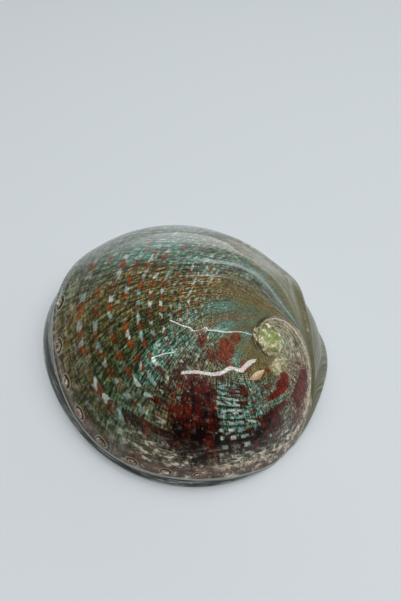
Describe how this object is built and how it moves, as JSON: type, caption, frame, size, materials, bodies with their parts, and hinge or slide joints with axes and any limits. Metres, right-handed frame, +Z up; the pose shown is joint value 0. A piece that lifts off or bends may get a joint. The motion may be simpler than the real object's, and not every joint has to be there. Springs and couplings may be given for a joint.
{
  "type": "abalone shell",
  "caption": "Polished abalone shell, an oval thin-walled dome with a low spire and a row of open holes along its left keel, resting on its flat rim.",
  "frame": {"origin": "on the resting plane, under the middle of the bounding box", "axes": "+Z up out of the dome's back, +Y along the long axis towards the growing edge, -X towards the side with the row of holes; the open side faces down"},
  "size_m": [0.0976, 0.1176, 0.0365],
  "materials": {
    "lacquered_shell": "polished"
  },
  "bodies": {
    "root": {"abalone_shell": "lacquered_shell"}
  },
  "joints": []
}
